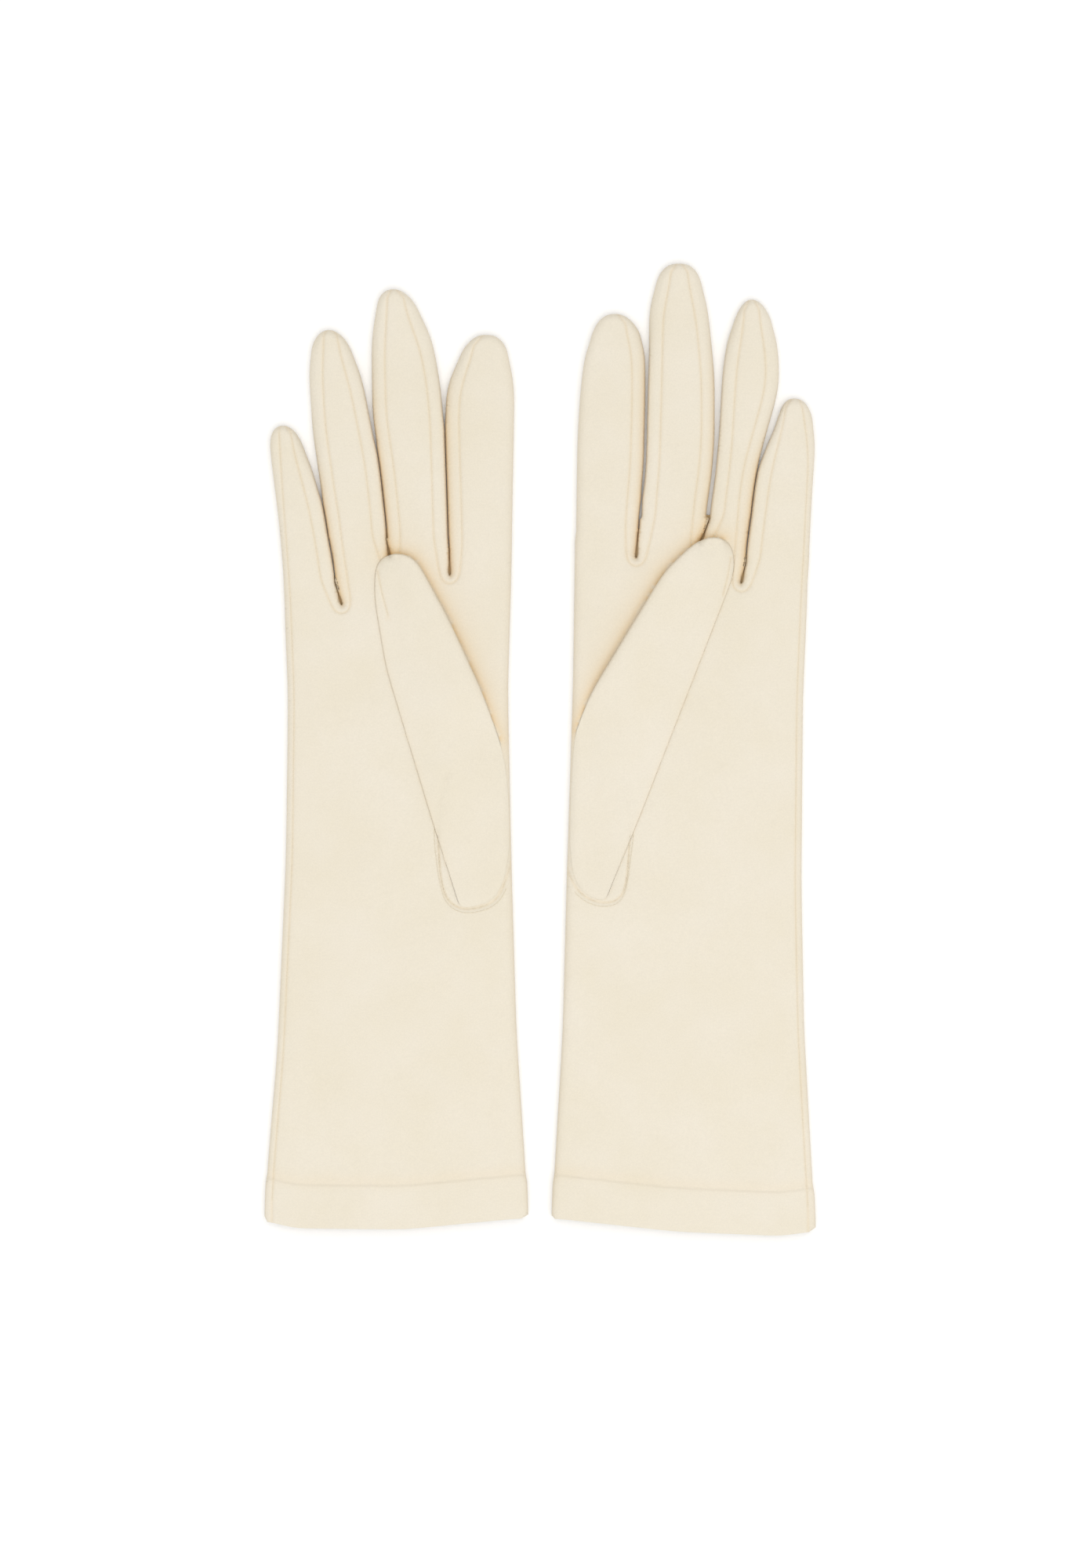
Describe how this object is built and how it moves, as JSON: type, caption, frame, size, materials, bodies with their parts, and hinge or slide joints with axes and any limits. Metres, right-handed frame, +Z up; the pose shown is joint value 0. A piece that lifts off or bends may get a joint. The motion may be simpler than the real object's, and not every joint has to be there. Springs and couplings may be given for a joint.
{
  "type": "pair of opera gloves",
  "caption": "Pair of short cream fabric opera gloves laid flat side by side, palms up, thumbs folded over the palms, with fourchettes, set-in thumbs and hemmed cuffs.",
  "frame": {"origin": "on the surface the gloves lie on, under the middle of the pair", "axes": "+Y towards the fingertips, +Z up out of the surface towards the palms, +X from the right-hand glove to the left-hand glove"},
  "size_m": [0.204, 0.3603, 0.0149],
  "materials": {
    "glove_cloth": "matt",
    "sewing_thread": "matt"
  },
  "bodies": {
    "right_glove": {"right_trank_hand": "glove_cloth", "right_cuff_hem": "glove_cloth", "right_hem_thread": "sewing_thread", "right_fourchette_crotches": "glove_cloth", "right_fourchette_crotch_thread": "sewing_thread", "right_side_seam_thread": "sewing_thread", "right_thumb_gusset": "glove_cloth", "right_thumb_set_in_thread": "sewing_thread"},
    "right_pinky": {"right_pinky_palm_tab": "glove_cloth", "right_pinky_back_tab": "glove_cloth", "right_pinky_seam_thread": "sewing_thread", "right_pinky_fourchette": "glove_cloth"},
    "right_ring": {"right_ring_palm_tab": "glove_cloth", "right_ring_back_tab": "glove_cloth", "right_ring_fourchette_little_side": "glove_cloth", "right_ring_fourchette_thumb_side": "glove_cloth", "right_ring_seam_thread": "sewing_thread"},
    "right_middle": {"right_middle_palm_tab": "glove_cloth", "right_middle_back_tab": "glove_cloth", "right_middle_fourchette_little_side": "glove_cloth", "right_middle_fourchette_thumb_side": "glove_cloth", "right_middle_seam_thread": "sewing_thread"},
    "right_index": {"right_index_tab": "glove_cloth", "right_index_seam_thread": "sewing_thread", "right_index_fourchette": "glove_cloth"},
    "right_thumb": {"right_thumb_stall": "glove_cloth", "right_thumb_seam_thread": "sewing_thread"},
    "left_glove": {"left_trank_hand": "glove_cloth", "left_cuff_hem": "glove_cloth", "left_hem_thread": "sewing_thread", "left_fourchette_crotches": "glove_cloth", "left_fourchette_crotch_thread": "sewing_thread", "left_side_seam_thread": "sewing_thread", "left_thumb_gusset": "glove_cloth", "left_thumb_set_in_thread": "sewing_thread"},
    "left_pinky": {"left_pinky_palm_tab": "glove_cloth", "left_pinky_back_tab": "glove_cloth", "left_pinky_seam_thread": "sewing_thread", "left_pinky_fourchette": "glove_cloth"},
    "left_ring": {"left_ring_palm_tab": "glove_cloth", "left_ring_back_tab": "glove_cloth", "left_ring_fourchette_little_side": "glove_cloth", "left_ring_fourchette_thumb_side": "glove_cloth", "left_ring_seam_thread": "sewing_thread"},
    "left_middle": {"left_middle_palm_tab": "glove_cloth", "left_middle_back_tab": "glove_cloth", "left_middle_fourchette_little_side": "glove_cloth", "left_middle_fourchette_thumb_side": "glove_cloth", "left_middle_seam_thread": "sewing_thread"},
    "left_index": {"left_index_tab": "glove_cloth", "left_index_seam_thread": "sewing_thread", "left_index_fourchette": "glove_cloth"},
    "left_thumb": {"left_thumb_stall": "glove_cloth", "left_thumb_seam_thread": "sewing_thread"}
  },
  "joints": [
    {"name": "right_pinky_bend", "type": "hinge", "parent": "right_glove", "child": "right_pinky", "pos_m": [-0.08525, 0.0618, 0.007], "axis": [1, 0, 0], "range_deg": [0, 90]},
    {"name": "right_ring_bend", "type": "hinge", "parent": "right_glove", "child": "right_ring", "pos_m": [-0.06735, 0.0777, 0.007], "axis": [1, 0, 0], "range_deg": [0, 90]},
    {"name": "right_middle_bend", "type": "hinge", "parent": "right_glove", "child": "right_middle", "pos_m": [-0.0452, 0.0777, 0.007], "axis": [1, 0, 0], "range_deg": [0, 90]},
    {"name": "right_index_bend", "type": "hinge", "parent": "right_glove", "child": "right_index", "pos_m": [-0.02215, 0.074, 0.007], "axis": [1, 0, 0], "range_deg": [0, 90]},
    {"name": "right_thumb_lift", "type": "hinge", "parent": "right_glove", "child": "right_thumb", "pos_m": [-0.0234, -0.0245, 0.00815], "axis": [0.2765, 0.961, 0], "range_deg": [0, 90]},
    {"name": "left_pinky_bend", "type": "hinge", "parent": "left_glove", "child": "left_pinky", "pos_m": [0.0876, 0.0693, 0.007], "axis": [1, 0, 0], "range_deg": [0, 90]},
    {"name": "left_ring_bend", "type": "hinge", "parent": "left_glove", "child": "left_ring", "pos_m": [0.06985, 0.0853, 0.007], "axis": [1, 0, 0], "range_deg": [0, 90]},
    {"name": "left_middle_bend", "type": "hinge", "parent": "left_glove", "child": "left_middle", "pos_m": [0.049, 0.0853, 0.007], "axis": [1, 0, 0], "range_deg": [0, 90]},
    {"name": "left_index_bend", "type": "hinge", "parent": "left_glove", "child": "left_index", "pos_m": [0.0247, 0.0803, 0.007], "axis": [1, 0, 0], "range_deg": [0, 90]},
    {"name": "left_thumb_lift", "type": "hinge", "parent": "left_glove", "child": "left_thumb", "pos_m": [0.0192, -0.02325, 0.00815], "axis": [0.1853, -0.9827, 0], "range_deg": [0, 90]},
    {"name": "left_glove_lift", "type": "slide", "parent": "right_glove", "child": "left_glove", "axis": [0, 0, 1], "range_m": [0, 0.25]}
  ]
}
